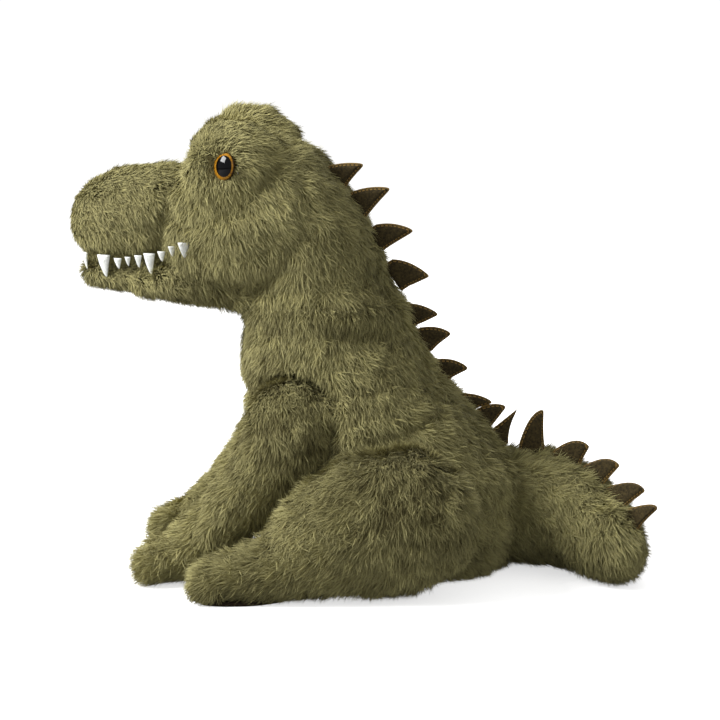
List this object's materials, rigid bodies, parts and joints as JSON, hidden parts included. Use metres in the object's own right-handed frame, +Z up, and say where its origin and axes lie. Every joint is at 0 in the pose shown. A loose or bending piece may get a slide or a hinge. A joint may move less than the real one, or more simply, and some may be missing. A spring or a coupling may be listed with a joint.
{
  "type": "stuffed dinosaur",
  "caption": "Stuffed dinosaur that sits up: turned head with a toothed mouth, padded spikes down its back, four stuffed legs and a short thick tail.",
  "frame": {"origin": "middle of the footprint's bounding box, on the surface that the animal sits on", "axes": "+Z up, nose towards -X, the animal's left side towards -Y"},
  "size_m": [0.3746, 0.233, 0.2943],
  "materials": {
    "pile_fabric": "long pile",
    "fibre_filling": "loose fibre",
    "pellet_cloth": "plain weave",
    "suede": "napped suede",
    "tooth_satin": "satin",
    "eye_plastic": "polished",
    "washer_plastic": "moulded"
  },
  "bodies": {
    "torso": {"torso_skin": "pile_fabric", "torso_filling": "fibre_filling", "seat_pellet_bag": "pellet_cloth", "spike_08": "suede", "spike_09": "suede", "spike_10": "suede"},
    "neck": {"neck_skin": "pile_fabric", "neck_filling": "fibre_filling", "spike_05": "suede", "spike_06": "suede", "spike_07": "suede"},
    "head": {"head_skin": "pile_fabric", "head_filling": "fibre_filling", "jaw_skin": "pile_fabric", "jaw_filling": "fibre_filling", "eye_left": "eye_plastic", "eye_washer_left": "washer_plastic", "eye_right": "eye_plastic", "eye_washer_right": "washer_plastic", "tooth_left_1": "tooth_satin", "tooth_left_2": "tooth_satin", "tooth_left_3": "tooth_satin", "tooth_left_4": "tooth_satin", "tooth_left_5": "tooth_satin", "tooth_left_6": "tooth_satin", "tooth_left_7": "tooth_satin", "tooth_left_8": "tooth_satin", "tooth_left_9": "tooth_satin", "tooth_right_1": "tooth_satin", "tooth_right_2": "tooth_satin", "tooth_right_3": "tooth_satin", "tooth_right_4": "tooth_satin", "tooth_right_5": "tooth_satin", "tooth_right_6": "tooth_satin", "tooth_right_7": "tooth_satin", "tooth_right_8": "tooth_satin", "tooth_right_9": "tooth_satin", "spike_01": "suede", "spike_02": "suede", "spike_03": "suede", "spike_04": "suede"},
    "foreleg_left": {"foreleg_left_skin": "pile_fabric", "foreleg_left_filling": "fibre_filling"},
    "foreleg_right": {"foreleg_right_skin": "pile_fabric", "foreleg_right_filling": "fibre_filling"},
    "hind_leg_left": {"hind_leg_left_skin": "pile_fabric", "hind_leg_left_filling": "fibre_filling", "sole_left": "suede"},
    "hind_leg_right": {"hind_leg_right_skin": "pile_fabric", "hind_leg_right_filling": "fibre_filling", "sole_right": "suede"},
    "tail": {"tail_skin": "pile_fabric", "tail_filling": "fibre_filling", "spike_11": "suede", "spike_12": "suede", "spike_13": "suede", "spike_14": "suede", "spike_15": "suede"}
  },
  "joints": [
    {"name": "neck_lean", "type": "hinge", "parent": "torso", "child": "neck", "pos_m": [-0.01122, 0, 0.113], "axis": [0, 1, 0], "range_deg": [-8, 4]},
    {"name": "head_turn", "type": "hinge", "parent": "neck", "child": "head", "pos_m": [-0.02322, 0, 0.1725], "axis": [0, 0, 1], "range_deg": [-25, 25]},
    {"name": "left_foreleg_swing", "type": "hinge", "parent": "torso", "child": "foreleg_left", "pos_m": [-0.04322, -0.047, 0.098], "axis": [0, 1, 0], "range_deg": [-2, 25]},
    {"name": "right_foreleg_swing", "type": "hinge", "parent": "torso", "child": "foreleg_right", "pos_m": [-0.04322, 0.047, 0.098], "axis": [0, 1, 0], "range_deg": [-2, 25]},
    {"name": "left_hind_leg_swing", "type": "hinge", "parent": "torso", "child": "hind_leg_left", "pos_m": [0.03078, -0.089, 0.05], "axis": [0, 1, 0], "range_deg": [-5, 20]},
    {"name": "right_hind_leg_swing", "type": "hinge", "parent": "torso", "child": "hind_leg_right", "pos_m": [0.03078, 0.089, 0.05], "axis": [0, 1, 0], "range_deg": [-5, 20]},
    {"name": "tail_wag", "type": "hinge", "parent": "torso", "child": "tail", "pos_m": [0.11078, 0, 0.038], "axis": [0, 0, 1], "range_deg": [-15, 20]}
  ]
}
